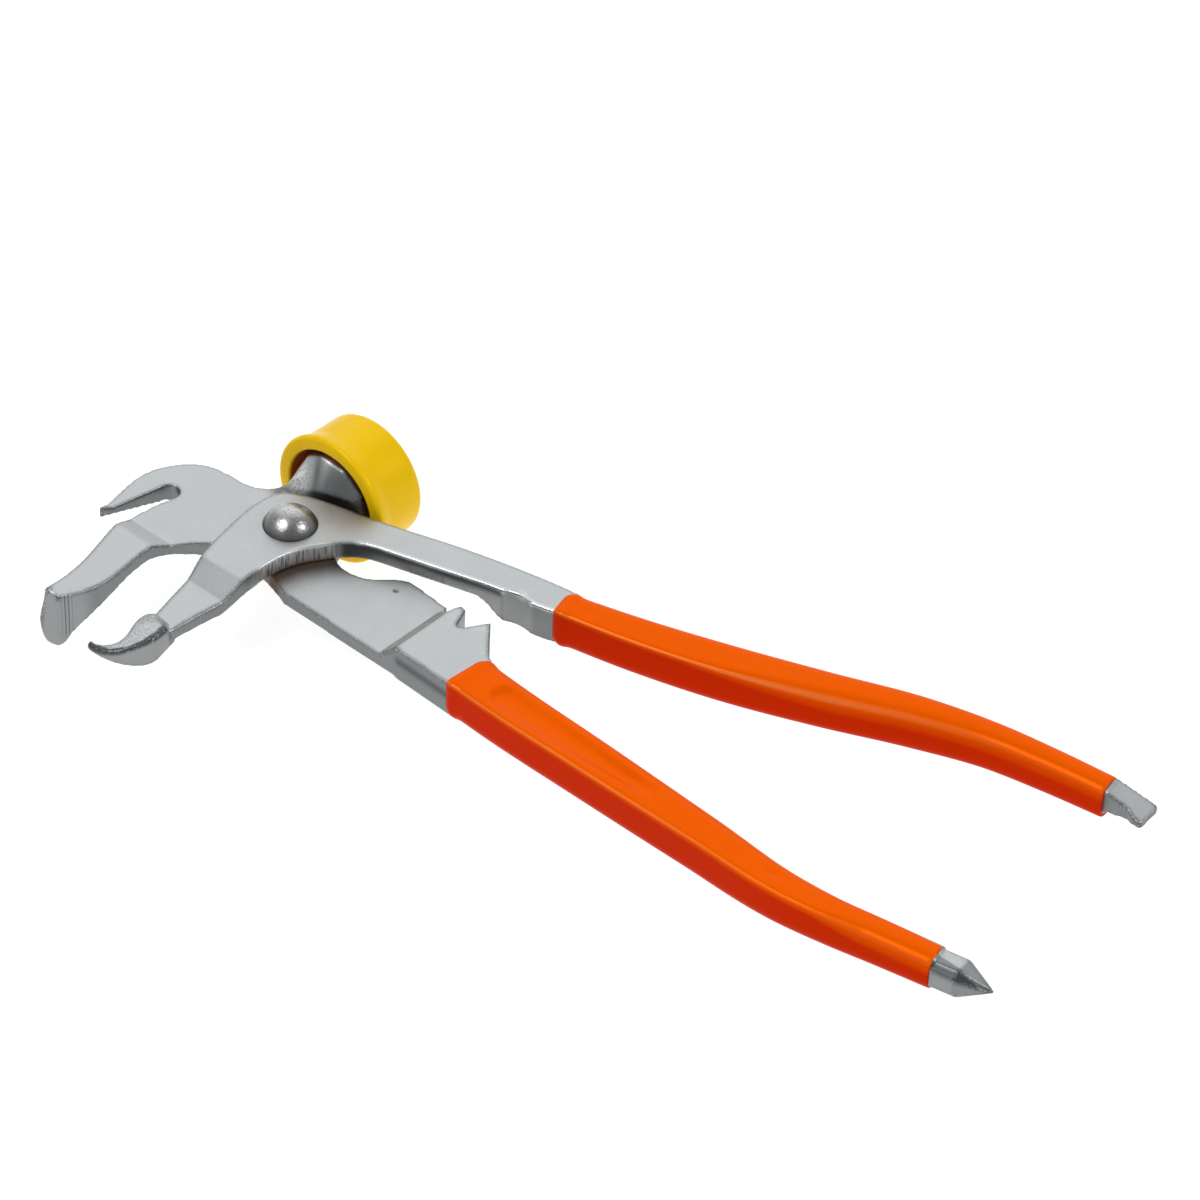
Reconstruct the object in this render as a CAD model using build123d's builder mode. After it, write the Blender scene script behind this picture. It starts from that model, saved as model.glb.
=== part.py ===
"""Wheel-weight hammer pliers: two forged levers on one rivet, a capped hammer head and two dipped grips.

Frame, in millimetres: the origin is on the rivet's axis, in the plane where the two joint plates meet.
+X runs along the hammer lever's handle, +Y is the way the hammer strikes, +Z points to the rivet's dome.
"""
import os
from math import cos, radians, sin

from build123d import *

# driving dimensions
plate_t = 4.7            # thickness of each joint plate, and half the thickness of each handle
face_gap = 0.05          # running clearance between the two joint plates
jaw_rise = 2.3           # the hammer lever's jaw arm is set up by this much, the beak's down by it
jaw_t = 3.5              # thickness of the two jaw arms
arm_depth = 4.5          # the beak lever's arm reaches this far below the joint plane
tang_half = 4.3          # half thickness of the steel inside a grip
grip_wall = 1.3          # thickness of the dipped coat at a grip's edges
grip_half = 5.6          # half thickness of a grip at the joint end
grip_half_end = 4.6      # and at the tip end
grip_taper_x = 140.0     # the grips thin down from here to their ends
grip_round = 2.6         # rounding of a grip's long edges
forged_round = 1.4       # rounding of the cutter block's lower edge

pivot_r = 4.5            # rivet shank
pivot_clearance = 0.05   # running clearance of the beak lever on the shank
rivet_head_r = 6.25
rivet_dome_h = 4.1
rivet_tail_r = 5.8
rivet_tail_h = 1.4

hammer_x = -3.6          # the hammer's axis crosses the cap's mouth here
hammer_y = 16.1
hammer_r = 11.6
neck_front = 5.8         # the neck starts this far in front of the cap's mouth
neck_root = 4.5          # and is rooted this deep in the joint plate
neck_back = 0.3          # has its full section this far behind it
head_back = 2.9          # and meets the round head here
head_face = 11.3         # the steel's striking face, from the mouth
cap_depth = 15.3         # the cap's striking face, from the mouth
cap_mouth_r = 16.1
cap_body_r = 15.0
cap_bore_r = 12.7
cap_lip = 0.8            # rounding of the flared mouth's edge
cap_round = 1.6          # rounding of the striking face's rim

step_low = 41.0          # the hammer lever ramps from one plate thick
step_high = 45.7         # to full thickness between these two
grip_a_start = 62.4
grip_a_end = 190.0
grip_b_start = 61.6
grip_b_end = 184.0
punch_r = 0.6            # small punch mark on the hammer lever
slab = 40.0              # half size of the blanks that profiles are cut from

hammer_plane = Plane(origin=(hammer_x, hammer_y, 0), x_dir=(1, 0, 0), z_dir=(0, 1, 0))


def ribbon(stations):
    """Outline of a handle from (x, y, width) stations: two splines, one each side of its centre line."""
    left = []
    right = []
    last = len(stations) - 1
    for i, (x, y, width) in enumerate(stations):
        ahead = stations[min(i + 1, last)]
        behind = stations[max(i - 1, 0)]
        along = Vector(ahead[0] - behind[0], ahead[1] - behind[1]).normalized()
        side = Vector(-along.Y, along.X) * (width / 2)
        left.append((x + side.X, y + side.Y))
        right.append((x - side.X, y - side.Y))
    Spline(*left)
    Line(left[-1], right[-1])
    Spline(*reversed(right))
    Line(right[0], left[0])


def narrowed(stations, wall):
    """The same stations with the wall taken off each side."""
    return [(x, y, width - 2 * wall) for x, y, width in stations]


# centre lines and widths of the two grips, from the joint end to the tip end
grip_a_line = [
    (62.4, -8.6, 13.0),
    (72, -9.3, 13.2),
    (100, -10.1, 12.4),
    (130, -10.9, 11.0),
    (155, -11.4, 9.6),
    (165, -10.2, 9.0),
    (177, -7.9, 8.6),
    (190, -5.5, 8.4),
]
grip_b_line = [
    (61.6, 22.7, 9.4),
    (80, 27.4, 10.8),
    (100, 33.9, 11.6),
    (120, 41.8, 11.2),
    (140, 50.4, 10.2),
    (155, 55.3, 9.0),
    (170, 58.1, 8.1),
    (184, 60.0, 7.5),
]

# hammer lever ------------------------------------------------------------------------------------
with BuildPart() as claw_and_jaw:
    # plan of the joint plate, the claw and the jaw arm
    with BuildSketch(Plane.XY.offset(-slab / 2)):
        with BuildLine():
            Spline((-15.2, 15), (-16.6, 9.6), (-20, 7.6), (-27, 7), (-33, 5.5), (-37.6, 1), (-40.2, -5),
                   (-40, -12), (-38, -21.6))
            Polyline((-38, -21.6), (-37.6, -22.9), (-37.1, -22.6), (-34.2, -7.2))
            ThreePointArc((-34.2, -7.2), (-31.7, -4.4), (-29.3, -7.6))
            Spline((-29.3, -7.6), (-30.7, -14.5), (-30.8, -21), (-28.4, -31), (-25.3, -43), (-24.9, -49.5),
                   (-24.4, -53.4))
            Line((-24.4, -53.4), (-20.4, -51.3))
            Line((-20.4, -51.3), (-18.8, -48))
            Spline((-18.8, -48), (-17.3, -43.6), (-17.1, -37), (-18.2, -29), (-17.6, -20.5), (-14, -15.2),
                   (-8, -10.9), (0, -10.4), (11.4, -13.8))
            Polyline((11.4, -13.8), (step_high, -14.3), (step_high, 4), (step_low + 1, 5.2), (step_low, 7.4),
                     (29.6, 8.4))
            Spline((29.6, 8.4), (27, 7.3), (22.6, 3.2), (17, 1.2), (12, 2.3), (8.6, 7), (7.9, 15))
            Line((7.9, 15), (-15.2, 15))
        make_face()
    extrude(amount=slab)
    # side profile, seen along X: flat plate, raised jaw arm, deep pad at its end
    with BuildSketch(Plane.YZ.offset(-slab - 10)):
        with BuildLine():
            Polyline((15, 0), (-19.5, 0), (-25, jaw_rise), (-51.2, jaw_rise))
            Spline((-51.2, jaw_rise), (-53.1, -4), (-53.4, -10), (-52.1, -12.1), (-49.4, -10.6))
            Spline((-49.4, -10.6), (-45, -5.6), (-40, -2.9), (-33, jaw_rise - jaw_t))
            Polyline((-33, jaw_rise - jaw_t), (-26, jaw_rise - jaw_t), (-17, -3.3), (-11, -4),
                     (-4, -plate_t), (15, -plate_t), (15, 0))
        make_face()
    extrude(amount=3 * slab, mode=Mode.INTERSECT)
    # the claw thins towards its point
    with BuildSketch(Plane.YZ.offset(-slab - 10)):
        with BuildLine():
            Polyline((-5, -plate_t), (-24, -1.2), (-24, -8), (-5, -8), (-5, -plate_t))
        make_face()
    extrude(amount=slab + 10 - 31.3, mode=Mode.SUBTRACT)
    # ribs of the jaw pad: grooves along Z in its inner corner
    rib_start = Vector(-20.2, -50.9)
    rib_step = Vector(0.36, 0.74)
    for rib in range(4):
        groove = rib_start + rib_step * rib
        with Locations((groove.X, groove.Y, 0)):
            Cylinder(0.33, slab, mode=Mode.SUBTRACT)

with BuildPart() as hammer_neck:
    # facetted neck that rises out of the plate and widens towards the round head;
    # in these two sections the second value points down
    with BuildSketch(hammer_plane.offset(-neck_front)):
        with BuildLine():
            Polyline((-0.8, -1.6), (-8.5, -0.9), (-10.4, 0), (-10.6, 4), (-7, neck_root), (0, neck_root),
                     (8, neck_root), (11.2, 4.3), (10.8, 0), (4, -0.9), (-0.8, -1.6))
        make_face()
    with BuildSketch(hammer_plane.offset(neck_back)) as neck_section:
        with BuildLine():
            Polyline((-3.2, -11), (-7.2, -9), (-10.2, -3.5), (-10.6, 3), (-7, 9), (0, 11.2), (8, 8),
                     (11.2, 1), (9.5, -6.3), (4, -10.6), (-3.2, -11))
        make_face()
    loft(ruled=True)
    extrude(neck_section.sketch, amount=head_back - neck_back)
with BuildPart() as hammer_head:
    with BuildSketch(hammer_plane.offset(head_back)):
        Circle(hammer_r)
    extrude(amount=head_face - head_back)
    chamfer(edges().filter_by(GeomType.CIRCLE), 0.8)
with BuildPart() as swing_room:
    # room for the beak lever's plate to swing in front of the neck
    with BuildSketch(Plane.XY.offset(-face_gap)):
        with BuildLine():
            Polyline((-20, 8), (-20, 10.8), (-7, 11.6), (-2, 12.6), (6, 15.2), (12, 18), (12, 8), (-20, 8))
        make_face()
    extrude(amount=plate_t + 3 * face_gap)

with BuildPart() as hammer_handle:
    # cutter block: full thickness, with a V notch between two teeth
    with BuildSketch(Plane.XY.offset(-plate_t)):
        with BuildLine():
            Polyline((step_high, -14.3), (step_high, 4.3), (46.4, 6), (48, 5.9), (50.2, 0.4), (51.2, 0.4),
                     (54.9, 6.4))
            Spline((54.9, 6.4), (58.2, 2.5), (62.4, -2.1))
            Polyline((62.4, -2.1), (66, -3.9), (66, -14.2), (62.4, -15), (step_high, -14.3))
        make_face()
    extrude(amount=2 * plate_t)
    lower_edge = edges().group_by(Axis.Z)[0].sort_by(Axis.Y)[:1]
    fillet(lower_edge, forged_round)
with BuildPart() as hammer_ramp:
    # ramp up to the cutter block, cut back towards the beak lever
    with BuildSketch(Plane.XZ.offset(14.3)):
        with BuildLine():
            Polyline((step_low, 0), (step_high, plate_t), (step_high, -1), (step_low, -1), (step_low, 0))
        make_face()
    extrude(amount=-14.3 - 5.2)
    with BuildSketch(Plane.YZ.offset(step_low)):
        with BuildLine():
            Polyline((8, 0), (5.2, 0), (3, plate_t), (8, plate_t), (8, 0))
        make_face()
    extrude(amount=step_high - step_low, mode=Mode.SUBTRACT)
with BuildPart() as hammer_tang:
    # tang inside the grip, and the bar that carries the scriber point
    with BuildSketch(Plane.XY.offset(-tang_half)):
        with BuildLine():
            ribbon(narrowed(grip_a_line, grip_wall))
        make_face()
    extrude(amount=2 * tang_half)
    fillet(edges().filter_by(GeomType.BSPLINE), 1.2)
with BuildPart() as scriber:
    tip_dir = Vector(cos(radians(11)), sin(radians(11)))
    bar = Plane(origin=(188.5, -5.8, 0), x_dir=(-tip_dir.Y, tip_dir.X, 0), z_dir=(tip_dir.X, tip_dir.Y, 0))
    with BuildSketch(bar):
        Rectangle(7.2, 2 * tang_half - 1.2)
        chamfer(vertices(), 1.5)
    extrude(amount=7.4)
    shoulder = faces().sort_by(Axis.X)[-1]
    with BuildSketch(Plane(origin=(203.2, -3.6, 0.6), z_dir=(tip_dir.X, tip_dir.Y, 0))) as point:
        Circle(0.25)
    loft(sections=[shoulder, point.sketch.faces()[0]])

with BuildPart() as hammer_lever:
    add(hammer_neck.part)
    add(swing_room.part, mode=Mode.SUBTRACT)
    add(hammer_head.part)
    add(claw_and_jaw.part)
    add(hammer_ramp.part)
    add(hammer_handle.part)
    add(hammer_tang.part)
    add(scriber.part)
    Cylinder(pivot_r, slab, mode=Mode.SUBTRACT)
    # small punch mark in the plate beside the joint
    with Locations((28.9, 3.8, 0)):
        Sphere(punch_r, mode=Mode.SUBTRACT)
hammer_lever.part.label = "hammer_lever"

# beak lever --------------------------------------------------------------------------------------
jaw_top = plate_t - jaw_rise
with BuildPart() as arm_and_plate:
    # plan of the jaw arm, the joint plate and the arm of the handle
    with BuildSketch(Plane.XY.offset(-slab / 2)):
        with BuildLine():
            Spline((-0.9, -42.3), (-3.4, -33), (-5.2, -26), (-7.6, -18), (-9.8, -8), (-10.8, 0), (-9.2, 6.8),
                   (-4, 10.1), (10, 13.9), (30, 20), (45, 23.9), (63, 27.2))
            Line((63, 27.2), (63, 19.2))
            Spline((63, 19.2), (57, 17.5), (50.5, 16.5), (40, 13.8), (22, 8.5), (16, 6.2), (10.5, 0),
                   (7.2, -6), (5.9, -15), (6.6, -25), (6, -33), (5.4, -42.6))
            Line((5.4, -42.6), (-0.9, -42.3))
        make_face()
    extrude(amount=slab)
    # side profile, seen along X: the jaw arm is set down to the middle of the tool
    with BuildSketch(Plane.YZ.offset(-slab)):
        with BuildLine():
            Polyline((70, plate_t), (-21.5, plate_t), (-27.5, jaw_top), (-44, jaw_top),
                     (-44, jaw_top - jaw_t + 0.5), (-27.5, jaw_top - jaw_t), (-21.5, 0.2), (-15, face_gap),
                     (4, face_gap), (4, -arm_depth), (70, -arm_depth), (70, plate_t))
        make_face()
    extrude(amount=3 * slab, mode=Mode.INTERSECT)
    # side profile, seen along Y: one plate thick over the joint, ramping down to full thickness
    with BuildSketch(Plane.XZ.offset(-70)):
        with BuildLine():
            Spline((42, face_gap), (44.5, -0.6), (47.5, -3.2), (51, -arm_depth))
            Polyline((51, -arm_depth), (51, -8), (-slab, -8), (-slab, face_gap), (42, face_gap))
        make_face()
    extrude(amount=71, mode=Mode.SUBTRACT)
    # ground scoop on the inner flank, which makes the cutting lobe
    with Locations((54.2, 9.4, 0)):
        Cylinder(8.4, 2 * plate_t + 1, mode=Mode.SUBTRACT)

with BuildPart() as beak:
    # plan of the beak
    with BuildSketch(Plane.XY.offset(-slab / 2)):
        with BuildLine():
            Spline((-0.4, -41.6), (-2.1, -43.6), (-1.9, -47), (-0.9, -50), (-1.2, -52.6), (-3.2, -54.5),
                   (-6.3, -55.2))
            Line((-6.3, -55.2), (-6.5, -56.5))
            Spline((-6.5, -56.5), (-2.6, -56.6), (1.2, -55), (3.9, -51.4), (5.6, -46.8), (5.3, -43.2),
                   (5.4, -41.2))
            Line((5.4, -41.2), (-0.4, -41.6))
        make_face()
    extrude(amount=slab)
    # side profile along the beak: deep at its back, thin at its tip
    beak_dir = Vector(-0.58, -0.81).normalized()
    beak_plane = Plane(origin=(4, -41, 0), x_dir=beak_dir, z_dir=Vector(beak_dir.Y, -beak_dir.X, 0))
    with BuildSketch(beak_plane):
        with BuildLine():
            Polyline((-3, jaw_top), (0.4, jaw_top), (1.6, 3.7), (5, 3.6))
            Spline((5, 3.6), (10.5, 2.4), (18.6, 0.5))
            Line((18.6, 0.5), (18.6, -1.1))
            Spline((18.6, -1.1), (10, -2.9), (5.5, -3.7), (3, -3.2), (0, -1.8))
            Polyline((0, -1.8), (-3, jaw_top - jaw_t + 0.5), (-3, jaw_top))
        make_face()
    extrude(amount=slab, both=True, mode=Mode.INTERSECT)

with BuildPart() as beak_tang:
    with BuildSketch(Plane.XY.offset(-tang_half)):
        with BuildLine():
            ribbon(narrowed(grip_b_line, grip_wall))
        make_face()
    extrude(amount=2 * tang_half)
    fillet(edges().filter_by(GeomType.BSPLINE), 1.2)
with BuildPart() as pry_tip:
    # flat blade, thinning to its edge
    with BuildSketch(Plane.XY.offset(-tang_half)):
        with BuildLine():
            Polyline((182, 62.8), (193.2, 64.5), (193.9, 63.9), (194.4, 57.9), (193.8, 57.3), (192, 57.5),
                     (190, 58.3), (182, 57.4), (182, 62.8))
        make_face()
    extrude(amount=2 * tang_half)
    with BuildSketch(Plane.XZ.offset(-50)):
        with BuildLine():
            Polyline((182, 3.3), (184, 3.3), (194.8, 0.5), (194.8, -0.7), (184, -2.3), (182, -2.3),
                     (182, 3.3))
        make_face()
    extrude(amount=-20, mode=Mode.INTERSECT)

with BuildPart() as beak_lever:
    add(arm_and_plate.part)
    add(beak.part)
    add(beak_tang.part)
    add(pry_tip.part)
    Cylinder(pivot_r + pivot_clearance, slab, mode=Mode.SUBTRACT)
beak_lever.part.label = "beak_lever"

# pivot rivet -------------------------------------------------------------------------------------
with BuildPart() as pivot_rivet:
    with BuildSketch(Plane.XZ):
        with BuildLine():
            dome_z = plate_t + face_gap
            ThreePointArc((0, dome_z + rivet_dome_h), (rivet_head_r * 0.6, dome_z + rivet_dome_h * 0.757),
                          (rivet_head_r, dome_z))
            Polyline((rivet_head_r, dome_z), (pivot_r, dome_z), (pivot_r, -plate_t), (rivet_tail_r, -plate_t))
            Spline((rivet_tail_r, -plate_t), (rivet_tail_r * 0.8, -plate_t - rivet_tail_h * 0.8),
                   (0, -plate_t - rivet_tail_h), tangents=[(0, -1), (-1, 0)])
            Line((0, -plate_t - rivet_tail_h), (0, dome_z + rivet_dome_h))
        make_face()
    revolve(axis=Axis.Z)
pivot_rivet.part.label = "pivot_rivet"

# hammer cap --------------------------------------------------------------------------------------
with BuildPart() as hammer_cap:
    # half section about the hammer's axis: flared mouth, rounded striking face
    with BuildSketch(Plane(origin=(hammer_x, hammer_y, 0))):
        with BuildLine():
            Polyline((0, head_face), (hammer_r, head_face), (hammer_r, head_back), (cap_bore_r, 0.3))
            Line((cap_bore_r, 0.3), (cap_bore_r + 0.3, 0))
            Line((cap_bore_r + 0.3, 0), (cap_mouth_r - cap_lip, 0))
            RadiusArc((cap_mouth_r - cap_lip, 0), (cap_mouth_r, cap_lip), -cap_lip)
            Spline((cap_mouth_r, cap_lip), (cap_body_r + 0.5, 2.5), (cap_body_r, 5),
                   tangents=[(0, 1), (0, 1)])
            Line((cap_body_r, 5), (cap_body_r, cap_depth - cap_round))
            RadiusArc((cap_body_r, cap_depth - cap_round), (cap_body_r - cap_round, cap_depth), -cap_round)
            Polyline((cap_body_r - cap_round, cap_depth), (0, cap_depth), (0, head_face))
        make_face()
    revolve(axis=Axis((hammer_x, hammer_y, 0), (0, 1, 0)))
hammer_cap.part.label = "hammer_cap"


# dipped grips ------------------------------------------------------------------------------------
def dipped_grip(line, steel):
    """Soft sleeve over a tang: full outline with rounded long edges, open at both ends."""
    with BuildPart() as sleeve:
        with BuildSketch(Plane.XY.offset(-grip_half)):
            with BuildLine():
                ribbon(line)
            make_face()
        extrude(amount=2 * grip_half)
        with BuildSketch(Plane.XZ.offset(-70)):
            with BuildLine():
                Polyline((55, grip_half), (grip_taper_x, grip_half), (195, grip_half_end),
                         (195, -grip_half_end), (grip_taper_x, -grip_half), (55, -grip_half), (55, grip_half))
            make_face()
        extrude(amount=100, mode=Mode.INTERSECT)
        fillet(edges().filter_by(lambda edge: edge.length > 30), grip_round)
        add(steel, mode=Mode.SUBTRACT)
    return sleeve.part


hammer_grip = dipped_grip(grip_a_line, hammer_lever.part)
hammer_grip.label = "hammer_grip"
beak_grip = dipped_grip(grip_b_line, beak_lever.part)
beak_grip.label = "beak_grip"

os.makedirs("parts", exist_ok=True)
for piece in (hammer_lever.part, beak_lever.part, pivot_rivet.part, hammer_cap.part, hammer_grip, beak_grip):
    export_step(piece, f"parts/{piece.label}.step")
    print(piece.label, round(piece.volume), "mm3,", len(piece.solids()), "solid")
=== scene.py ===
"""Looks of the wheel-weight hammer pliers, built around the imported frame. Lengths are in metres."""
from math import asin, cos, pi, radians, sin, sqrt

import bmesh
import bpy
import numpy as np
from mathutils import Matrix, Vector


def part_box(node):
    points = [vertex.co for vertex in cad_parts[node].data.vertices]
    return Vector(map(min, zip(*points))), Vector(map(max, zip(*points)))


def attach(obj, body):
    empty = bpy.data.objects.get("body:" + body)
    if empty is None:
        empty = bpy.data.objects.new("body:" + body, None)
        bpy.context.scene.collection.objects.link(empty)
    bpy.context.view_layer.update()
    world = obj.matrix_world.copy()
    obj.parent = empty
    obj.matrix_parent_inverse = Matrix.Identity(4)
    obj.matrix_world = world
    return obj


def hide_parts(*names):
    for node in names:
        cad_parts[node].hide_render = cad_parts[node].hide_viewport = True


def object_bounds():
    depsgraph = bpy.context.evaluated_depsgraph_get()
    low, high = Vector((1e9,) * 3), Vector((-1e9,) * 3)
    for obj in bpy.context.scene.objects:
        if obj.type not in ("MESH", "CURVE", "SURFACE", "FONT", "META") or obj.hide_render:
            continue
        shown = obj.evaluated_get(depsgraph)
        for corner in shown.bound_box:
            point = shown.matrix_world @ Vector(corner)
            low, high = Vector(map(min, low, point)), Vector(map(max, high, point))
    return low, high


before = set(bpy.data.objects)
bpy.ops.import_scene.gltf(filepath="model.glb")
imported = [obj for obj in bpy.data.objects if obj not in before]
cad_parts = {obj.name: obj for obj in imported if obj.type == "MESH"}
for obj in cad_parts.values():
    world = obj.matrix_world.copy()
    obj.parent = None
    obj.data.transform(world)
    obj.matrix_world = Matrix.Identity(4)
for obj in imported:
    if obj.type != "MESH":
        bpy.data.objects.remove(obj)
cad_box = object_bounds()
mm = 0.001

# what is painted on the steel's vertices: edges in painted shade with pale wear specks, polished edges
# with a painted highlight, grinding marks with painted light and highlights, grime with painted shadow,
# painted shade and light, and as-cast grain
MASKS = ("edge", "polish_and_highlight", "grinding_and_light", "grime_and_shadow", "shade", "cast")

# camera: the viewing angle, and where the rivet stands in the camera's own axes
view_azimuth = radians(40.17)
view_elevation = radians(40.15)
view_roll = radians(2.65)
lens = 148.4
rivet_left = 69.1 * mm
rivet_up = 13.35 * mm
rivet_away = 1104.2 * mm


# shapes ------------------------------------------------------------------------------------------
def new_object(name, points, faces, material):
    """A smooth-shaded mesh object."""
    mesh = bpy.data.meshes.new(name)
    mesh.from_pydata([tuple(p) for p in points], [], faces)
    mesh.update()
    mesh.polygons.foreach_set("use_smooth", np.ones(len(mesh.polygons), dtype=bool))
    made = bpy.data.objects.new(name, mesh)
    bpy.context.scene.collection.objects.link(made)
    made.data.materials.append(material)
    return made


def smooth_through(xs, ys, x):
    """Values of a smooth curve through the stations (xs, ys) at the places x."""
    xs = np.asarray(xs, float)
    ys = np.asarray(ys, float)
    slopes = np.gradient(ys, xs)
    i = np.clip(np.searchsorted(xs, x) - 1, 0, len(xs) - 2)
    span = xs[i + 1] - xs[i]
    t = (x - xs[i]) / span
    return ((2 * t**3 - 3 * t**2 + 1) * ys[i] + (t**3 - 2 * t**2 + t) * span * slopes[i]
            + (3 * t**2 - 2 * t**3) * ys[i + 1] + (t**3 - t**2) * span * slopes[i + 1])


def bell(x, centre, width):
    """A smooth bump of height 1 around centre."""
    return np.exp(-(((x - centre) / width) ** 2))


def step_up(x, low, high):
    """0 before low, 1 after high, smooth between."""
    t = np.clip((x - low) / (high - low), 0, 1)
    return t * t * (3 - 2 * t)


def loop_faces(rings, around):
    """Quads of a tube whose rings close on themselves both ways."""
    faces = []
    for i in range(rings):
        for j in range(around):
            a = i * around
            b = (i + 1) % rings * around
            k = (j + 1) % around
            faces.append((a + j, a + k, b + k, b + j))
    return faces


def spun(name, profile, centre, axis, start, material, turns=160):
    """A solid of revolution from (radius, height) points whose two ends lie on the axis."""
    axis = Vector(axis)
    start = Vector(start)
    across = axis.cross(start)
    points = [Vector(centre) + axis * profile[0][1]]
    for radius, height in profile[1:-1]:
        for j in range(turns):
            angle = 2 * pi * j / turns
            out = start * cos(angle) + across * sin(angle)
            points.append(Vector(centre) + out * radius + axis * height)
    points.append(Vector(centre) + axis * profile[-1][1])
    last = len(points) - 1
    faces = []
    rings = len(profile) - 2
    for j in range(turns):
        k = (j + 1) % turns
        faces.append((0, 1 + j, 1 + k))
        for i in range(rings - 1):
            a = 1 + i * turns
            faces.append((a + j, a + turns + j, a + turns + k, a + k))
        end = 1 + (rings - 1) * turns
        faces.append((last, end + k, end + j))
    return new_object(name, points, faces, material)


def arc(centre, radius, first, final, count):
    """Points of an arc in the profile plane, angles in degrees."""
    return [(centre[0] + radius * cos(radians(a)), centre[1] + radius * sin(radians(a)))
            for a in np.linspace(first, final, count)]


# materials ---------------------------------------------------------------------------------------
def new_material(name, **values):
    made = bpy.data.materials.new(name)
    made.use_nodes = True
    surface = made.node_tree.nodes["Principled BSDF"]
    for key, value in values.items():
        surface.inputs[key.replace("_", " ")].default_value = value
    return made, surface


def add(material, kind, inputs, **settings):
    """A node whose inputs are given by name or number, as values or as another node's output."""
    node = material.node_tree.nodes.new(kind)
    for key, value in settings.items():
        setattr(node, key, value)
    for key, value in inputs.items():
        if isinstance(value, bpy.types.NodeSocket):
            material.node_tree.links.new(value, node.inputs[key])
        else:
            node.inputs[key].default_value = value
    return node


def link(material, source, socket):
    material.node_tree.links.new(source, socket)


def place(material, scale=(1, 1, 1)):
    """The object's own coordinates, stretched."""
    own = add(material, "ShaderNodeTexCoord", {}).outputs["Object"]
    return add(material, "ShaderNodeMapping", {"Vector": own, "Scale": scale}).outputs[0]


def noise(material, scale, detail=3.0, stretch=(1, 1, 1), roughness=0.5):
    vector = place(material, stretch)
    settings = {"Vector": vector, "Scale": scale, "Detail": detail, "Roughness": roughness}
    return add(material, "ShaderNodeTexNoise", settings).outputs["Fac"]


def ramp(material, source, low, high, to_low=0.0, to_high=1.0):
    """Maps low..high of a value to to_low..to_high, clamped."""
    inputs = {"Value": source, "From Min": low, "From Max": high, "To Min": to_low, "To Max": to_high}
    return add(material, "ShaderNodeMapRange", inputs).outputs[0]


def calc(material, operation, a, b):
    return add(material, "ShaderNodeMath", {0: a, 1: b}, operation=operation).outputs[0]


def blend(material, factor, a, b, mode="MIX"):
    """Colour mix of a and b."""
    node = add(material, "ShaderNodeMix", {0: factor, 6: a, 7: b}, data_type="RGBA", blend_type=mode)
    return node.outputs[2]


def paint(material, surface, base, layers):
    """Lays (strength, colour) layers over the base colour, one after another."""
    for strength, colour in layers:
        base = blend(material, strength, base, colour)
    link(material, base, surface.inputs["Base Color"])


def bumps(material, surface, *layers):
    """Stacks (height, distance in mm, strength) layers of bump on the surface."""
    normal = None
    for height, distance, strength in layers:
        inputs = {"Height": height, "Distance": distance * mm, "Strength": strength}
        if normal is not None:
            inputs["Normal"] = normal
        normal = add(material, "ShaderNodeBump", inputs).outputs[0]
    link(material, normal, surface.inputs["Normal"])


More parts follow.
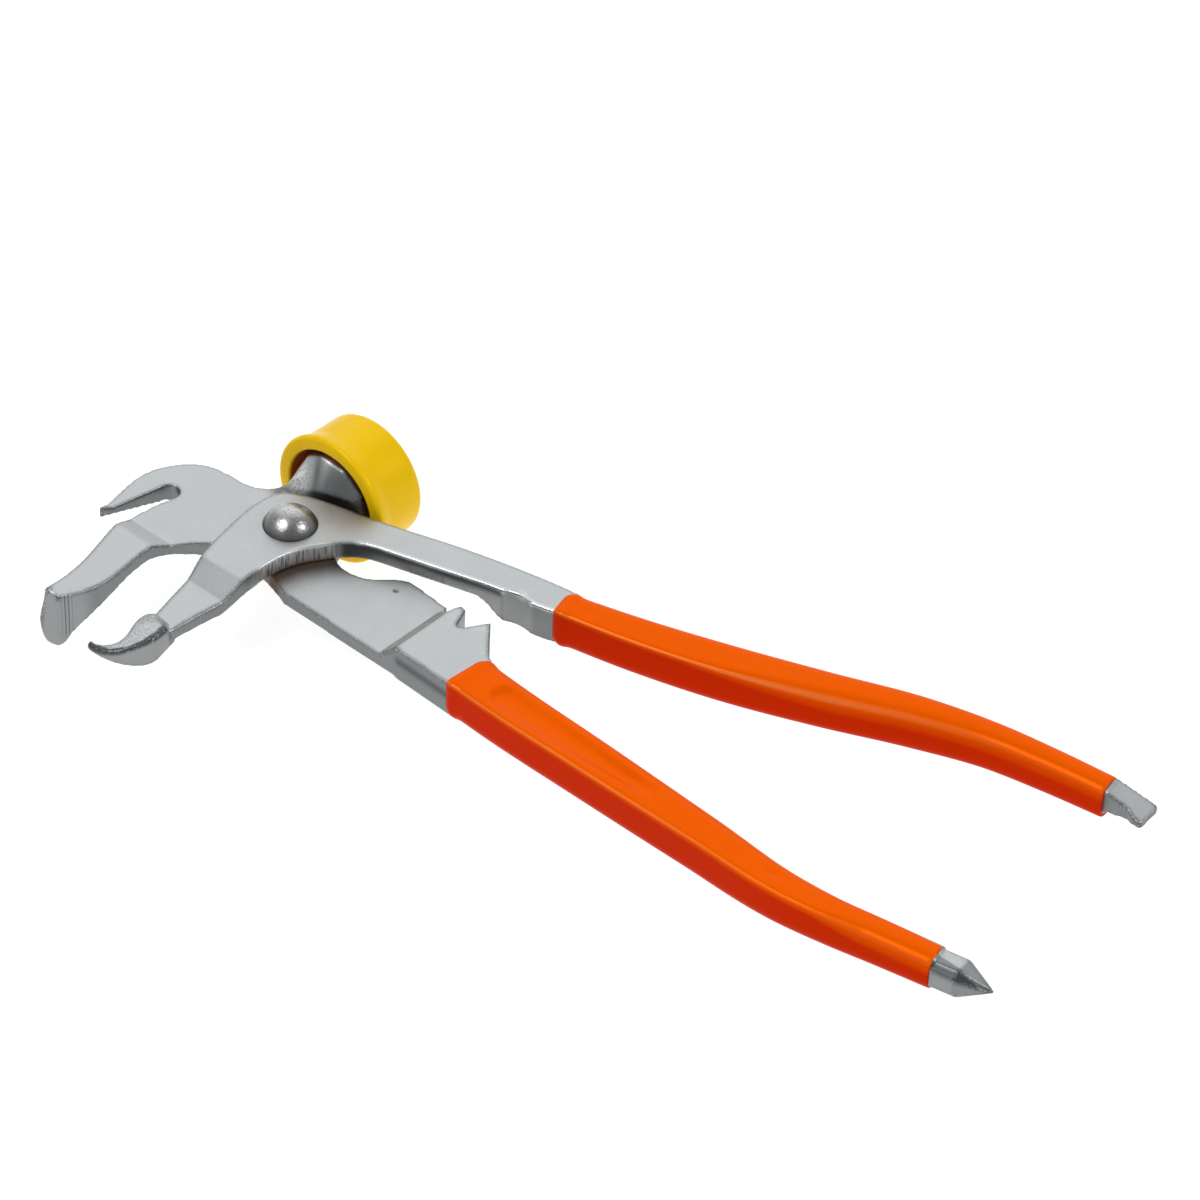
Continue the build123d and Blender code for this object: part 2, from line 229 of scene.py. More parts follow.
def steel_material():
    """Satin zinc over forged steel: cloudy grain, grinding marks, grime, edges with wear specks, and
    painted shade, shadow, light and highlights.
    """
    made, surface = new_material("satin_zinc_steel", Metallic=1.0)

    def mask(name):
        return add(made, "ShaderNodeAttribute", {}, attribute_name=name).outputs["Fac"]

    def times(a, b):
        return calc(made, "MULTIPLY", a, b)

    edge, polish_and_highlight, grinding_and_light, grime_and_shadow, shade, rough_cast = map(mask, MASKS)
    normal = add(made, "ShaderNodeNewGeometry", {}).outputs["Normal"]
    up = add(made, "ShaderNodeSeparateXYZ", {0: normal}).outputs[2]
    flank_shade = ramp(made, up, 0.1, 0.7, 1.0, 0.0)
    clouds = noise(made, 160, 4.0)
    grain = noise(made, 2600, 3.0)
    grit = noise(made, 2900, 2.0)
    wear = noise(made, 2200, 2.0)
    marks = noise(made, 2400, 3.0, (1, 1, 0.06))
    pits = times(ramp(made, grit, 0.42, 0.6), times(rough_cast, 0.5))
    streaks = times(grinding_and_light, ramp(made, marks, 0.5, 0.6, 0.0, 0.9))
    edge_shade = times(edge, ramp(made, polish_and_highlight, 0, 1, 0.6, 0))
    edge_highlight = times(edge, polish_and_highlight)
    zinc = blend(made, clouds, (0.46, 0.485, 0.495, 1), (0.53, 0.555, 0.565, 1))
    layers = (
        (ramp(made, grain, 0.35, 0.65, 0.0, 0.35), (0.38, 0.40, 0.41, 1)),
        (times(rough_cast, 0.8), (0.68, 0.70, 0.71, 1)),
        (pits, (0.24, 0.245, 0.25, 1)),
        # painted shade: steep faces darker
        (times(flank_shade, 0.85), (0.15, 0.16, 0.162, 1)),
        # the shade mask paints shade above 0, and below 0 painted light that makes the steel paler
        (ramp(made, shade, -1, 0, 1, 0), (0.3, 0.31, 0.31, 1)),
        (ramp(made, shade, 0, 1, 0, 0.85), (0.05, 0.053, 0.055, 1)),
        # grinding marks, and painted light and highlights, make the steel paler; streaks darken the
        # marks
        (times(grinding_and_light, 0.9), (0.9, 0.91, 0.91, 1)),
        (streaks, (0.14, 0.145, 0.15, 1)),
        # painted shade along the edges with pale wear specks, and a painted highlight on polished edges
        (edge_shade, (0.08, 0.083, 0.085, 1)),
        (times(edge_shade, ramp(made, wear, 0.58, 0.66)), (0.8, 0.81, 0.82, 1)),
        (edge_highlight, (0.85, 0.86, 0.87, 1)),
        # grime, and painted shadow under the beak lever, in brown
        (times(grime_and_shadow, ramp(made, grain, 0.3, 0.6, 0.5, 1.0)), (0.13, 0.085, 0.055, 1)),
    )
    paint(made, surface, zinc, layers)
    rough = ramp(made, clouds, 0.3, 0.7, 0.36, 0.45)
    rough = calc(made, "SUBTRACT", rough, times(edge_highlight, 0.14))
    rough = calc(made, "ADD", rough, times(grime_and_shadow, 0.3))
    link(made, rough, surface.inputs["Roughness"])
    bumps(made, surface, (clouds, 0.12, 0.3), (grain, 0.02, 0.5),
          (times(grit, rough_cast), 0.16, 1.0), (times(marks, grinding_and_light), 0.03, 0.8))
    return made


def rivet_material():
    """Polished steel with faint turning marks, and painted shade on the lower part of the dome."""
    made, surface = new_material("polished_steel", Metallic=1.0)
    smears = noise(made, 220, 3.0)
    fine = noise(made, 1800, 2.0)
    normal = add(made, "ShaderNodeNewGeometry", {}).outputs["Normal"]
    up = add(made, "ShaderNodeSeparateXYZ", {0: normal}).outputs[2]
    steel_grey = blend(made, smears, (0.44, 0.445, 0.445, 1), (0.64, 0.645, 0.645, 1))
    paint(made, surface, steel_grey, (
        # painted shade: the dome darker where its surface turns away from facing up
        (ramp(made, up, 0.45, 0.9, 0.9, 0.0), (0.06, 0.06, 0.06, 1)),
        (ramp(made, fine, 0.5, 0.7, 0.0, 0.5), (0.2, 0.2, 0.2, 1)),
    ))
    link(made, ramp(made, smears, 0.3, 0.7, 0.28, 0.38), surface.inputs["Roughness"])
    bumps(made, surface, (smears, 0.35, 0.6), (fine, 0.06, 0.8))
    return made


def cap_material():
    """Glossy moulded yellow plastic, with faint flow and handling marks, and painted shade, reddish
    brown, in the bore.
    """
    made, surface = new_material("yellow_plastic", Metallic=0.07, Specular_IOR_Level=0.1)
    bore = add(made, "ShaderNodeAttribute", {}, attribute_name="bore").outputs["Fac"]
    flow = noise(made, 60, 3.0)
    specks = noise(made, 900, 2.0)
    plain_yellow = blend(made, flow, (0.87, 0.54, 0.001, 1), (0.93, 0.59, 0.003, 1))
    paint(made, surface, plain_yellow, (
        (ramp(made, specks, 0.68, 0.78, 0.0, 0.3), (0.42, 0.24, 0.01, 1)),
        # painted shade, reddish brown, inside the bore
        (bore, (0.6, 0.12, 0.02, 1)),
    ))
    link(made, ramp(made, flow, 0.3, 0.7, 0.24, 0.34), surface.inputs["Roughness"])
    bumps(made, surface, (flow, 0.4, 0.25), (specks, 0.02, 0.3))
    return made


def dip_material():
    """Dipped orange vinyl: wet gloss, slow waves from dripping, painted shade on the sides, a painted
    highlight along the crease.
    """
    made, surface = new_material("orange_vinyl", Metallic=0.1, Specular_IOR_Level=0.02, Roughness=0.22)
    surface.inputs["Specular Tint"].default_value = (1, 0.42, 0.12, 1)
    waves = noise(made, 45, 2.0, (0.35, 1, 1))
    normal = add(made, "ShaderNodeNewGeometry", {}).outputs["Normal"]
    up = add(made, "ShaderNodeSeparateXYZ", {0: normal}).outputs[2]
    own = add(made, "ShaderNodeTexCoord", {}).outputs["Object"]
    along = add(made, "ShaderNodeSeparateXYZ", {0: own}).outputs[0]
    # a painted highlight along the rounded top edges, fading from 110 to 165 mm along the handle
    crease = calc(made, "MULTIPLY", ramp(made, up, 0.5, 0.64), ramp(made, up, 0.72, 0.86, 0.5, 0.0))
    crease = calc(made, "MULTIPLY", crease, ramp(made, along, 0.11, 0.165, 1.0, 0.15))
    top = blend(made, waves, (0.86, 0.105, 0.0, 1), (0.91, 0.12, 0.001, 1))
    paint(made, surface, top, (
        # painted shade: the sides darker and redder than the top
        (ramp(made, up, 0.0, 0.75, 1.0, 0.0), (0.54, 0.022, 0.0, 1)),
        (crease, (0.95, 0.3, 0.09, 1)),
    ))
    bumps(made, surface, (waves, 0.6, 0.3))
    return made


steel = steel_material()
polished = rivet_material()
yellow = cap_material()
orange = dip_material()


# steel levers ------------------------------------------------------------------------------------
def read_points(mesh, what="co"):
    values = np.empty(len(mesh.vertices) * 3)
    mesh.vertices.foreach_get(what, values)
    return values.reshape(-1, 3)


def neighbour_averager(mesh):
    """A function that gives each vertex the mean of its neighbours' values."""
    count = len(mesh.vertices)
    ends = np.empty(len(mesh.edges) * 2, dtype=np.int64)
    mesh.edges.foreach_get("vertices", ends)
    one, two = ends.reshape(-1, 2).T
    degree = np.bincount(one, minlength=count) + np.bincount(two, minlength=count)

    def mean(values):
        columns = [np.bincount(one, column[two], count) + np.bincount(two, column[one], count)
                   for column in values.T]
        return np.stack(columns, axis=1) / degree[:, None]
    return mean


def forged(node, body, softness, fine_area, sculpt, painters, voxel=0.35 * mm, passes=20):
    """A lever as one forged skin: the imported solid's surface, evenly meshed, softened and detailed.

    softness, sculpt and the painters are functions of the points in mm: how much an edge is rounded,
    how far a point moves along its normal in mm, and how strong each named mask of the material is.
    fine_area says which points lie in detail that needs a finer mesh.
    """
    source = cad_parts[node]
    copy = bpy.data.objects.new(node + "_copy", source.data.copy())
    bpy.context.scene.collection.objects.link(copy)
    remesh = copy.modifiers.new("skin", "REMESH")
    remesh.mode = "VOXEL"
    remesh.voxel_size = voxel
    bpy.context.view_layer.update()
    skin = bpy.data.meshes.new_from_object(copy.evaluated_get(bpy.context.evaluated_depsgraph_get()))
    bpy.data.objects.remove(copy)
    skin.name = node + "_forged"
    skin.materials.clear()
    skin.materials.append(steel)
    points = read_points(skin)
    mean = neighbour_averager(skin)
    half_way = 0.5
    pull = half_way * np.clip(softness(points / mm), 0, 1)[:, None]
    for _ in range(passes):
        points = points + pull * (mean(points) - points)
    skin.vertices.foreach_set("co", points.ravel())

    form = bmesh.new()
    form.from_mesh(skin)
    form.verts.ensure_lookup_table()
    fine = fine_area(points / mm)
    halvings = 2
    for _ in range(halvings):
        cut = [e for e in form.edges if all(v.index < len(fine) and fine[v.index] for v in e.verts)]
        bmesh.ops.subdivide_edges(form, edges=cut, cuts=1, use_grid_fill=True)
        form.verts.index_update()
        form.verts.ensure_lookup_table()
        fine = fine_area(np.array([v.co for v in form.verts]) / mm)
    form.to_mesh(skin)
    form.free()
    skin.update()

    points = read_points(skin)
    points = points + read_points(skin, "normal") * sculpt(points / mm)[:, None] * mm
    skin.vertices.foreach_set("co", points.ravel())
    skin.update()
    mean = neighbour_averager(skin)
    bend = ((points - mean(points)) * read_points(skin, "normal")).sum(axis=1)[:, None]
    for _ in range(3):
        bend = mean(bend)
    sharp_bend = 0.028 * mm
    unmarked = 0.12
    masks = [bend[:, 0] / sharp_bend - unmarked] + [painter(points / mm) for painter in painters]
    for name, values in zip(MASKS, masks):
        skin.attributes.new(name, "FLOAT", "POINT").data.foreach_set("value", np.clip(values, -1.0, 1.0))
    skin.polygons.foreach_set("use_smooth", np.ones(len(skin.polygons), dtype=bool))
    made = bpy.data.objects.new(node + "_forged", skin)
    bpy.context.scene.collection.objects.link(made)
    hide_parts(node)
    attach(made, body)
    return made


def spot(p, x, y, radius):
    """Strength of a round mark around (x, y), seen from above."""
    return np.exp(-((p[:, 0] - x) ** 2 + (p[:, 1] - y) ** 2) / radius**2)


def near_line(p, stops, reach):
    """Strength of a soft band along the line through the stops, seen from above."""
    nearest = np.full(len(p), np.inf)
    for (ax, ay), (bx, by) in zip(stops, stops[1:]):
        run = np.array((bx - ax, by - ay))
        share = np.clip((p[:, :2] - (ax, ay)) @ run / (run @ run), 0, 1)
        off = p[:, :2] - (ax, ay) - share[:, None] * run
        nearest = np.minimum(nearest, (off**2).sum(axis=1))
    return np.exp(-nearest / reach**2)


def ball(p, centre, radius):
    """Strength of a round mark around a point in space."""
    return np.exp(-((p - np.array(centre)) ** 2).sum(axis=1) / radius**2)


# lines along the levers, seen from above, and one place on the hammer's neck
BOSS_EDGE = [(5.9, -15), (7.2, -6), (10.5, 0)]
HANDLE_EDGE = [(16, 6.2), (22, 8.5), (40, 13.8), (50.5, 16.5), (63, 19.2)]
BEAK_LEVER_SHADOW_EDGE = BOSS_EDGE + HANDLE_EDGE[:2]
BEAK_RIM = [(-6.2, -56.4), (-0.4, -55.8), (2.9, -52.9), (4.5, -49.5), (4.9, -46), (4.5, -43.4)]
BEAK_STEP = [(1.5, -42.4), (5.6, -42.6)]
PAD_LIP = [(-24.3, -53.2), (-20.5, -51.4)]
NECK_CORNER = [(-4.6, 12), (-7.6, 18)]
NECK_SHOULDER = (-4.5, 18.5, 9)

# how much every edge is rounded, and how much less at the crisp handle tips
EVEN_ROUNDING = 0.16
CRISPER = 0.1
SCRIBER_FROM = 186
PRY_TIP_FROM = 182
SCRIBER_POINT = 203.25
SCRIBER_TAPER = 7.75


def hammer_softness(p):
    x, y, z = p.T
    neck = step_up(y, 8, 12) * bell(x, -3.6, 12)
    pad = step_up(-y, 42, 47) * (0.4 + 1.2 * step_up(-z, 5, 9))
    return EVEN_ROUNDING + 0.5 * np.maximum(neck, pad) - CRISPER * (x > SCRIBER_FROM)


def rib_area(p):
    """The ribbed corner of the jaw pad."""
    x, y, z = p.T
    return (y < -46) & (y > -53.6) & (x > -23)


def grooves(p):
    """Depth, 0 to 1, of the fine grooves down the jaw pad's corner."""
    x, y, z = p.T
    pitch = 0.823
    across = ((x + 20.2) * 0.36 + (y + 50.9) * 0.74) / pitch
    wave = np.clip(np.cos(2 * pi * across / pitch), 0, 1) ** 2
    return wave * bell(across, 1.23, 1.4) * rib_area(p) * step_up(z, -11, -8) * (z < 2.1)


def hammer_sculpt(p):
    """Lumps and hollows of the pad, and the steel sunk where the grip around it is hollowed."""
    x, y, z = p.T
    lump = 0.35 * ball(p, (-24.3, -51.5, 2.3), 1.8) + 0.2 * ball(p, (-20.6, -51, 2.3), 1.2)
    belly = 0.5 * ball(p, (-24.6, -51.5, -4.8), 5.5) - 0.4 * ball(p, (-24.6, -53.4, -10.8), 1.8)
    sunk = 0.6 * step_up(x, 64, 68) * (1 - step_up(x, 124, 128)) * (z > 3)
    return lump + belly - 0.16 * grooves(p) - sunk


def hammer_neck_highlight(p):
    # painted highlight, on polished steel, at the top of the neck's front
    return ball(p, NECK_SHOULDER, 3.2)


def hammer_grinding_and_light(p):
    x, y, z = p.T
    # scratches, and painted light, on the neck's left face
    scuffed_and_lit = 0.75 * ball(p, (-10.5, 13.0, 4), 4.5)
    # painted highlight at the top of the neck
    neck_top_highlight = 0.9 * ball(p, NECK_SHOULDER, 2.4)
    cutter = 0.3 * bell(x, 52, 4) * step_up(y, 1, 4)
    return cutter + scuffed_and_lit + neck_top_highlight


def hammer_grime_and_shadow(p):
    x, y, z = p.T
    low_neck = 0.75 * step_up(x, -4, 0) * (y > 9) * step_up(-z, -5, -3.6)
    neck = 0.7 * spot(p, -14, 11, 2.2) + low_neck
    punch_mark = 0.9 * spot(p, 28.9, 3.8, 0.55)
    # painted shadow with a brown grime tint, on the plate under the beak lever's edge
    shadow_under_beak_lever = 0.9 * near_line(p, BEAK_LEVER_SHADOW_EDGE, 4.2) * (z < 1)
    return neck * (y < 24) + punch_mark + shadow_under_beak_lever


def scriber_shade(p):
    """The pointed end: painted shade on its chamfer towards the viewer and painted light on the side
    below it.
    """
    x, y, z = p.T
    height = z / np.clip((SCRIBER_POINT - x) / SCRIBER_TAPER, 0.05, 1)
    chamfer = bell(height, 3.0, 1.1) * (y < -5.5)
    faces = chamfer - 0.6 * step_up(-height, -2.2, -0.6)
    return faces * step_up(x, 189, 190) + 0.35 * step_up(x, 195.5, 196)


def hammer_shade(p):
    x, y, z = p.T
    corner = 0.9 * near_line(p, NECK_CORNER, 1.2) * (z > 2)
    pad_lip = near_line(p, PAD_LIP, 0.5) * (z > 1.0)
    neck_front = 0.7 * step_up(y, 8, 10) * step_up(x, -5, -2) * (y < 22)
    neck_left = 0.35 * ball(p, (-9.5, 15.5, 5), 3.2)
    gap = near_line(p, BEAK_LEVER_SHADOW_EDGE, 2.3) + 0.3 * near_line(p, BEAK_LEVER_SHADOW_EDGE, 6.5)
    shadow_under_beak_lever = gap * (z < 1) * (x > 5)
    channel = 0.85 * step_up(x, 45, 47) * (x < 64) * (y < -12) * bell(z, 1.3, 1.2)
    # painted light on the pad below its top
    lit_pad = 0.75 * step_up(-y, 43, 47) * (z < 1.8)
    dark = corner + pad_lip + neck_front + neck_left + shadow_under_beak_lever + channel
    return dark + scriber_shade(p) + 1.4 * grooves(p) - lit_pad


def beak_softness(p):
    x, y, z = p.T
    return EVEN_ROUNDING + 0.55 * step_up(-y, 41, 43.5) - CRISPER * (x > PRY_TIP_FROM)


def beak_sculpt(p):
    x, y, z = p.T
    swell = 0.5 * ball(p, (0.6, -43.6, 3.8), 2.0) + 0.3 * ball(p, (-6, -55.6, 1.0), 1.0)
    return swell - 0.35 * near_line(p, BEAK_STEP, 0.5) * step_up(z, 1.5, 2.5)


def handle_flank(x, y):
    """Points on the side of the beak lever's handle that faces the hammer lever's."""
    return y < 4.5 + 0.27 * x


def beak_edge_highlights(p):
    x, y, z = p.T
    # painted highlights, on polished steel, along the handle's top edge and the boss's edge
    return near_line(p, HANDLE_EDGE, 1.5) * (z > 3) + 0.8 * near_line(p, BOSS_EDGE, 1.5)


def beak_grinding_and_light(p):
    x, y, z = p.T
    boss = 0.9 * step_up(y, -20, -13) * (1 - step_up(y, 1, 4)) * (x > 4)
    # painted light: the lower part of the handle's inner side paler
    lower_side_light = 0.4 * bell(x, 34, 8) * handle_flank(x, y) * step_up(-z, -3.4, -1.6)
    # and a painted highlight at the top of the scoop
    return (boss + lower_side_light) * (z < 4.4) + ball(p, (53.5, 17.6, 4.7), 1.1)


def beak_dust(p):
    return 0.2 * spot(p, 4, 10.5, 6) + 0.12 * spot(p, 0, 0, 7.2)


def over_beak_top(p):
    """Height of a point over the beak's top, which falls towards its tip."""
    x, y, z = p.T
    along = -0.582 * (x - 4) - 0.813 * (y + 41)
    return z - np.interp(along, [1.6, 5, 10.5, 18.6], [3.7, 3.6, 2.4, 0.5])


def beak_rim(p):
    """The rounded rim along the beak's outer edge."""
    return step_up(near_line(p, BEAK_RIM, 0.85), 0.25, 0.6) * step_up(over_beak_top(p), -1.1, -0.7)


def beak_shade(p):
    x, y, z = p.T
    inner = handle_flank(x, y)
    flank_shade = step_up(y, 1, 4) * (1 - step_up(x, 48.7, 49.2)) * (z < 4.4) * inner
    # painted shade high on the handle's inner side, painted light lower down along the handle
    fade = 1 - 1.9 * step_up(x, 14, 26) * step_up(-z, -3.4, -1.6)
    # painted light on the scoop facet, and on the beak's side below its top
    lit_scoop = 0.5 * step_up(x, 49, 49.4) * (1 - step_up(x, 56.5, 58)) * inner * (z < 4.3)
    step = 0.6 * near_line(p, BEAK_STEP, 0.4) * (z > 0)
    lit_beak_side = 0.75 * step_up(-y, 42.6, 43.4) * (1 - step_up(over_beak_top(p), -1.4, -1.0))
    return 0.85 * flank_shade * fade + beak_rim(p) + step - lit_beak_side - lit_scoop


def beak_cast(p):
    x, y, z = p.T
    return step_up(-y, 42.4, 43.2) * step_up(over_beak_top(p), -1.0, -0.6) * (1 - beak_rim(p))


def none_of(p):
    """A mask, or an area, that is empty."""
    return np.zeros(len(p), dtype=bool)


forged("hammer_lever", "hammer_side", hammer_softness, rib_area, hammer_sculpt,
       [hammer_neck_highlight, hammer_grinding_and_light, hammer_grime_and_shadow, hammer_shade, none_of])
forged("beak_lever", "beak_side", beak_softness, none_of, beak_sculpt,
       [beak_edge_highlights, beak_grinding_and_light, beak_dust, beak_shade, beak_cast])


# rivet and cap -----------------------------------------------------------------------------------
def rivet():
    low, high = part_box("pivot_rivet")
    head = high.x
    shank = 4.5 * mm
    seat = 4.75 * mm
    under = -4.7 * mm
    rise = high.z - seat
    dome = (head**2 + rise**2) / (2 * rise)
    widest = asin(head / dome)
    profile = [(0, high.z)]
    for i in range(1, 24):
        a = widest * i / 24
        profile.append((dome * sin(a), high.z - dome * (1 - cos(a))))
    profile += [(head, seat + 0.06 * mm), (head - 0.12 * mm, seat), (shank, seat), (shank, under)]
    tail = 5.8 * mm
    drop = under - low.z
    profile.append((tail, under))
    for i in range(1, 10):
        a = pi / 2 * i / 10
        profile.append((tail * cos(a), under - drop * sin(a)))
    profile.append((0, low.z))
    made = spun("rivet_domed", profile, (0, 0, 0), (0, 0, 1), (1, 0, 0), polished)
    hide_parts("pivot_rivet")
    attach(made, "hammer_side")


def cap():
    low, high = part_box("hammer_cap")
    centre = ((low.x + high.x) / 2, low.y, 0)
    deep = high.y - low.y
    mouth = (high.x - low.x) / 2
    body = mouth - 1.1 * mm
    bore = 12.7 * mm
    inner = deep - 4 * mm
    lip = 0.8 * mm
    profile = [(0, deep), (body * 0.5, deep), (body - 2.2 * mm, deep - 0.05 * mm)]
    profile += arc((body - 2 * mm, deep - 2 * mm), 2 * mm, 80, 0, 9)
    for height in np.linspace(12, 0.9, 18):
        flare = (mouth - body) * float(bell(height, 0.9, 2.3))
        profile.append((body + flare, height * mm))
    profile += arc((mouth - lip, lip), lip, 0, -90, 9)
    profile += [(mouth - 2 * mm, 0), (bore + 0.5 * mm, 0), (bore + 0.2 * mm, 0.06 * mm),
                (bore, 0.3 * mm), (bore - 0.1 * mm, 0.8 * mm), (bore - 0.5 * mm, 3 * mm),
                (bore - 1.1 * mm, inner), (0, inner)]
    made = spun("cap_moulded", profile, centre, (0, 1, 0), (1, 0, 0), yellow, 200)
    # mark the inside of the bore, which the material paints reddish brown as shade
    points = read_points(made.data)
    out = np.hypot(points[:, 0] - centre[0], points[:, 2] - centre[2])
    inside = (out < bore - 0.05 * mm) & (points[:, 1] < centre[1] + inner + 0.1 * mm)
    made.data.attributes.new("bore", "FLOAT", "POINT").data.foreach_set("value", inside.astype(float))
    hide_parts("hammer_cap")
    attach(made, "hammer_side")


rivet()
cap()


# dipped grips ------------------------------------------------------------------------------------
def section(width, height, radii, corner=12, flat=20):
    """Closed outline of a rounded box as (side, up) points.

    radii are those of the far top, near top, near bottom and far bottom corners.
    """
    signs = ((1, 1), (-1, 1), (-1, -1), (1, -1))
    points = []
    for turn, ((sx, sy), radius) in enumerate(zip(signs, radii)):
        cx = sx * (width / 2 - radius)
        cy = sy * (height / 2 - radius)
        for i in range(corner):
            a = pi / 2 * (turn + i / (corner - 1))
            points.append((cx + radius * cos(a), cy + radius * sin(a)))
    outline = []
    for turn in range(4):
        outline += points[turn * corner:(turn + 1) * corner]
        x0, y0 = points[(turn + 1) * corner - 1]
        x1, y1 = points[(turn + 1) * corner % len(points)]
        for i in range(1, flat + 1):
            t = i / (flat + 1)
            outline.append((x0 + (x1 - x0) * t, y0 + (y1 - y0) * t))
    return outline


def dipped(name, node, body, line, start, end, crease, dents):
    """A dipped sleeve: rings along the handle outside, then back along the steel inside.

    line holds (x, y, width) stations in mm, crease the radius of the near top edge along x,
    dents functions of (x, side fraction) that return how far the top sinks, in mm.
    """
    xs, ys, widths = zip(*line)
    half = 5.6
    half_end = 4.6
    taper_from = 140
    taper_to = 195
    wall = 1.3
    lip = 0.28

    def ring(x, inset, grow=0.0):
        y = smooth_through(xs, ys, x)
        ahead = smooth_through(xs, ys, x + 0.5)
        along = Vector((0.5, ahead - y)).normalized()
        width = smooth_through(xs, widths, x) + 2 * grow - 2 * inset
        taper = max(0, (x - taper_from) / (taper_to - taper_from))
        thick = half + (half_end - half) * taper + grow - inset
        near_top = float(np.interp(x, *zip(*crease)))
        corners = (4.4, near_top, 4.4, 4.2)
        largest = 0.49 * width
        radii = [min(largest, max(0.5, radius - 0.6 * inset)) for radius in corners]
        points = []
        for side, up in section(width, 2 * thick, radii):
            sink = 0.0
            if inset < wall and up > 0:
                share = side / (width / 2)
                sink = sum(dent(x, share) for dent in dents) * min(1.0, up / thick) ** 4
            points.append(((x - along.y * side) * mm, (y + along.x * side) * mm, (up - sink) * mm))
        return points

    rings = []
    edge = 1.5
    for x in np.concatenate([start + edge * np.linspace(0, 1, 9) ** 1.6,
                             np.linspace(start + edge + 0.5, end - 0.6, 230)]):
        s = x - start
        inset = 0.75 * (1 - sqrt(max(0.0, 1 - max(0.0, 1 - s / edge) ** 2)))
        rings.append(ring(x, inset, lip * float(bell(s, 2.0, 1.3))))
    rings.append(ring(end - 0.3, 0.03))
    rings.append(ring(end - 0.08, 0.12))
    rings.append(ring(end, 0.32))
    rings.append(ring(end, 0.9))
    rings.append(ring(end - 0.1, wall + 0.15))
    for x in np.linspace(end - 3, start + 3, 40):
        rings.append(ring(x, wall + 0.3))
    rings.append(ring(start, wall + 0.3))
    around = len(rings[0])
    points = [p for r in rings for p in r]
    made = new_object(name, points, loop_faces(len(rings), around), orange)
    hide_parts(node)
    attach(made, body)
    return made


hammer_line = [
    (61.6, -8.6, 13.4), (72, -9.3, 13.2), (100, -10.1, 12.4), (130, -10.9, 11.0),
    (155, -11.4, 9.6), (165, -10.2, 9.0), (177, -7.9, 8.6), (190, -5.5, 8.4),
]
beak_line = [
    (61.0, 22.5, 9.6), (80, 27.4, 10.8), (100, 33.9, 11.6), (120, 41.8, 11.2),
    (140, 50.4, 10.2), (155, 55.3, 9.0), (170, 58.1, 8.1), (184, 60.0, 7.5),
]


def trough(x, share):
    """Long oval hollow on top of the hammer grip."""
    off = abs(share + 0.1)
    start = 70.5 + 6 * off**2
    along = float(step_up(x, start, start + 2.6) * (1 - step_up(x, 108, 121)))
    half_width = 0.74 - 0.3 * float(step_up(x, 85, 120))
    return along * float(1 - step_up(off, 0.15 * half_width, half_width))


def thumb_mark(x, share):
    return 0.45 * float(bell(x, 152, 2.5)) * float(bell(share, 0.0, 0.3))


def nick(x, share):
    return 0.35 * float(bell(x, 68.2, 0.35)) * float(bell(share, -0.35, 0.3))


dipped("hammer_grip_dipped", "hammer_grip", "hammer_side", hammer_line, 61.9, 190,
       [(62, 1.3), (150, 1.5), (163, 1.7), (174, 3.6), (190, 3.8)], [trough, thumb_mark])
dipped("beak_grip_dipped", "beak_grip", "beak_side", beak_line, 61.2, 184,
       [(61, 1.3), (92, 1.5), (122, 4.2), (184, 3.6)], [nick])


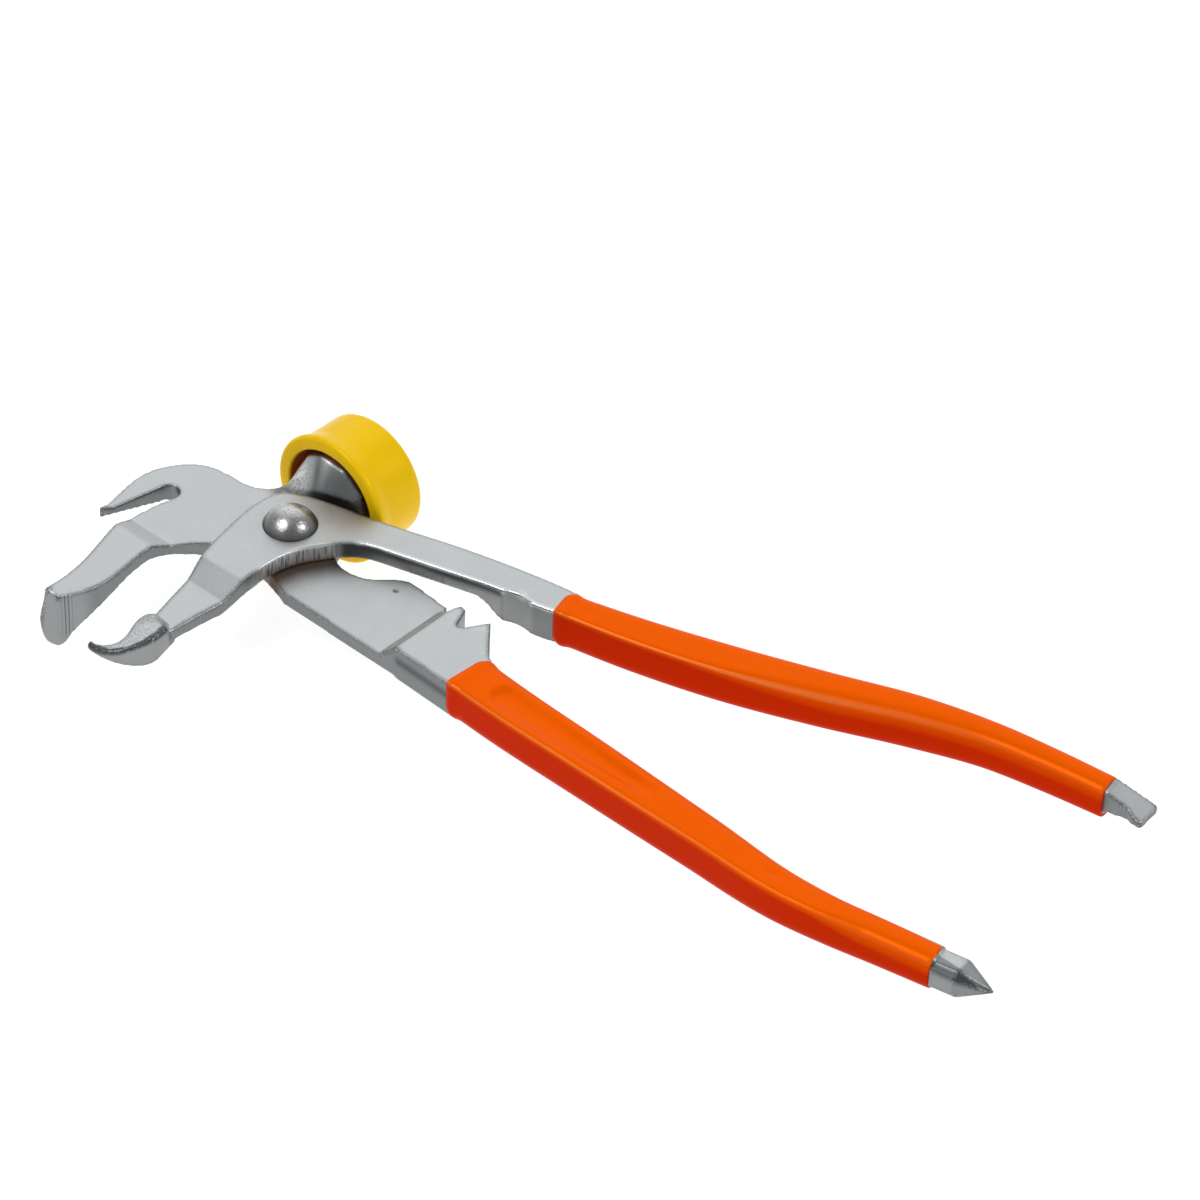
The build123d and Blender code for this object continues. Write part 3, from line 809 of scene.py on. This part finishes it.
# floor, light and camera -------------------------------------------------------------------------
def studio():
    # a white table lit from inside, so that it hardly takes a shadow
    floor_material, surface = new_material("light_table", Roughness=0.7, Emission_Strength=0.9)
    surface.inputs["Emission Color"].default_value = (1, 1, 1, 1)
    mottle = noise(floor_material, 3, 2.0)
    pale = blend(floor_material, mottle, (0.26, 0.26, 0.26, 1), (0.28, 0.28, 0.28, 1))
    link(floor_material, pale, surface.inputs["Base Color"])
    low = cad_box[0][2]
    size = 4.0
    corners = [(-size, -size, low), (size, -size, low), (size, size, low), (-size, size, low)]
    floor = new_object("floor", corners, [(0, 1, 2, 3)], floor_material)

    # the studio is bright low behind the tool, dim low all round and dark overhead
    world = bpy.data.worlds.new("studio")
    world.use_nodes = True
    bpy.context.scene.world = world
    rise = radians(42)
    away = (-sin(view_azimuth) * cos(rise), cos(view_azimuth) * cos(rise), sin(rise))
    toward = add(world, "ShaderNodeTexCoord", {}).outputs["Generated"]
    product = add(world, "ShaderNodeVectorMath", {0: toward, 1: away}, operation="DOT_PRODUCT")
    facing = product.outputs["Value"]
    high = add(world, "ShaderNodeSeparateXYZ", {0: toward}).outputs[2]
    window = ramp(world, facing, 0.72, 0.97, 0, 1.0)
    walls = ramp(world, high, 0.4, 0.7, 0.5, 0.2)
    glow = calc(world, "ADD", window, walls)
    link(world, glow, world.node_tree.nodes["Background"].inputs["Strength"])
    world.node_tree.nodes["Background"].inputs["Color"].default_value = (1, 1, 1, 1)

    def softbox(name, azimuth, elevation, size, power, away=1.2):
        light = bpy.data.lights.new(name, "AREA")
        light.shape = "RECTANGLE"
        light.size, light.size_y = size
        light.energy = power
        made = bpy.data.objects.new(name, light)
        bpy.context.scene.collection.objects.link(made)
        target = Vector((0.07, 0.0, 0.0))
        turn = radians(azimuth)
        rise = radians(elevation)
        out = Vector((cos(turn) * cos(rise), sin(turn) * cos(rise), sin(rise)))
        made.location = target + out * away
        made.rotation_euler = out.to_track_quat("Z", "Y").to_euler()

    softbox("right_light", 26, 43, (0.35, 0.35), 3.6)
    softbox("left_light", 245, 57, (0.55, 0.45), 5.5)


def camera():
    made = bpy.data.objects.new("camera", bpy.data.cameras.new("camera"))
    bpy.context.scene.collection.objects.link(made)
    made.data.lens = lens
    made.data.sensor_width = 36
    made.data.clip_start = 0.01
    turn = (Matrix.Rotation(view_azimuth, 4, "Z") @ Matrix.Rotation(pi / 2 - view_elevation, 4, "X")
            @ Matrix.Rotation(view_roll, 4, "Z"))
    made.matrix_world = turn @ Matrix.Translation((rivet_left, -rivet_up, rivet_away))
    bpy.context.scene.camera = made


studio()
camera()
bpy.context.scene.view_settings.view_transform = "Standard"
